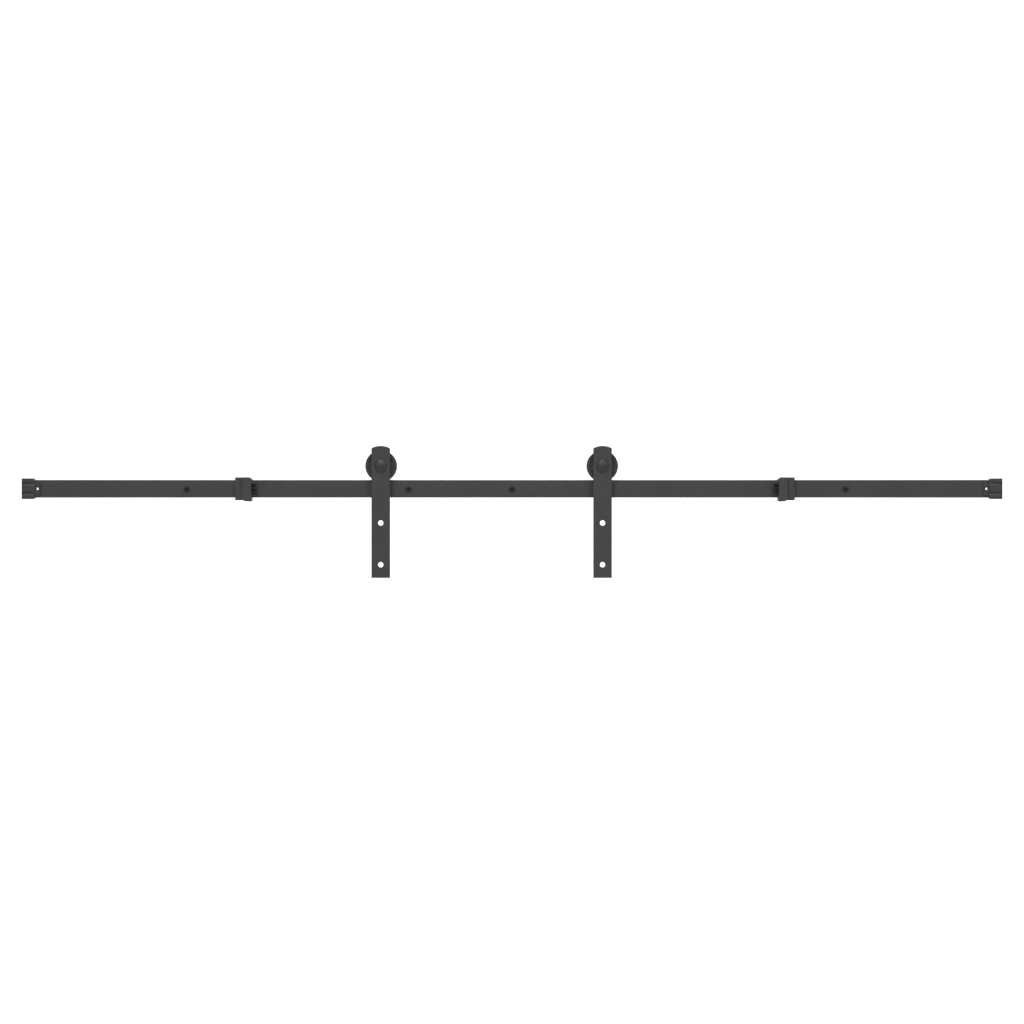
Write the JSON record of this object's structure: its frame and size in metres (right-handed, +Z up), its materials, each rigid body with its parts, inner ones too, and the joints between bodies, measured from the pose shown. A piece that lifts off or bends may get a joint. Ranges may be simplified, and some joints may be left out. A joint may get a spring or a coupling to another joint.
{
  "type": "sliding barn door hardware",
  "caption": "Flat-bar rail for a sliding door, on wall spacers, with strap roller hangers on grooved wheels, clamped stops with rubber bumpers, and end caps.",
  "frame": {"origin": "the middle wall fixing's axis where it leaves the wall; the wall is the plane Y = 0", "axes": "+X along the rail to the right seen from the front, +Y into the wall, +Z up; the front faces -Y"},
  "size_m": [2.2112, 0.1145, 0.2977],
  "materials": {
    "powder_coat": "matt black powder coat, finely textured",
    "black_steel": "black oxide, satin",
    "wheel_nylon": "turned black nylon, satin",
    "cap_plastic": "moulded black plastic, matt",
    "bumper_rubber": "moulded black rubber, matt",
    "bearing_steel": "ground bearing steel",
    "cage_polyamide": "moulded polyamide"
  },
  "bodies": {
    "rail": {"rail": "powder_coat", "wall_spacer_1": "powder_coat", "wall_spacer_2": "powder_coat", "wall_spacer_3": "powder_coat", "wall_spacer_4": "powder_coat", "wall_spacer_5": "powder_coat", "wall_bolts": "black_steel", "left_end_cap": "cap_plastic", "right_end_cap": "cap_plastic"},
    "left_stop": {"left_stop_body": "powder_coat", "left_stop_back_plate": "powder_coat", "left_stop_plate_screws": "black_steel", "left_stop_set_screw": "black_steel", "left_stop_bumper": "bumper_rubber"},
    "left_hanger": {"left_strap": "powder_coat", "left_axle_bolt": "black_steel", "left_lock_nut": "black_steel", "left_front_bush": "black_steel", "left_rear_bush": "black_steel", "left_washer": "black_steel", "left_bearing_inner_ring": "bearing_steel"},
    "left_wheel": {"left_wheel": "wheel_nylon", "left_bearing_outer_ring": "bearing_steel", "left_bearing_shields": "bearing_steel"},
    "left_ball_set": {"left_bearing_balls": "bearing_steel", "left_bearing_cage": "cage_polyamide"},
    "right_stop": {"right_stop_body": "powder_coat", "right_stop_back_plate": "powder_coat", "right_stop_plate_screws": "black_steel", "right_stop_set_screw": "black_steel", "right_stop_bumper": "bumper_rubber"},
    "right_hanger": {"right_strap": "powder_coat", "right_axle_bolt": "black_steel", "right_lock_nut": "black_steel", "right_front_bush": "black_steel", "right_rear_bush": "black_steel", "right_washer": "black_steel", "right_bearing_inner_ring": "bearing_steel"},
    "right_wheel": {"right_wheel": "wheel_nylon", "right_bearing_outer_ring": "bearing_steel", "right_bearing_shields": "bearing_steel"},
    "right_ball_set": {"right_bearing_balls": "bearing_steel", "right_bearing_cage": "cage_polyamide"}
  },
  "joints": [
    {"name": "left_stop_slide", "type": "slide", "parent": "rail", "child": "left_stop", "axis": [-1, 0, 0], "range_m": [0, 0.096]},
    {"name": "left_hanger_slide", "type": "slide", "parent": "rail", "child": "left_hanger", "axis": [1, 0, 0], "range_m": [-0.26, 0.213]},
    {"name": "left_wheel_spin", "type": "hinge", "parent": "left_hanger", "child": "left_wheel", "pos_m": [-0.2956, -0.038, 0.0534], "axis": [0, 1, 0], "range_deg": [-480, 395]},
    {"name": "left_ball_set_spin", "type": "hinge", "parent": "left_hanger", "child": "left_ball_set", "pos_m": [-0.2956, -0.038, 0.0534], "axis": [0, 1, 0], "range_deg": [-305, 250]},
    {"name": "right_stop_slide", "type": "slide", "parent": "rail", "child": "right_stop", "axis": [1, 0, 0], "range_m": [0, 0.102]},
    {"name": "right_hanger_slide", "type": "slide", "parent": "rail", "child": "right_hanger", "axis": [1, 0, 0], "range_m": [-0.213, 0.365]},
    {"name": "right_wheel_spin", "type": "hinge", "parent": "right_hanger", "child": "right_wheel", "pos_m": [0.2039, -0.038, 0.0534], "axis": [0, 1, 0], "range_deg": [-395, 672]},
    {"name": "right_ball_set_spin", "type": "hinge", "parent": "right_hanger", "child": "right_ball_set", "pos_m": [0.2039, -0.038, 0.0534], "axis": [0, 1, 0], "range_deg": [-250, 427]}
  ],
  "couplings": [
    {"joint": "left_wheel_spin", "follows": "left_hanger_slide", "rad_per_m": 31.949},
    {"joint": "left_ball_set_spin", "follows": "left_hanger_slide", "rad_per_m": 20.259},
    {"joint": "right_wheel_spin", "follows": "right_hanger_slide", "rad_per_m": 31.949},
    {"joint": "right_ball_set_spin", "follows": "right_hanger_slide", "rad_per_m": 20.259}
  ]
}
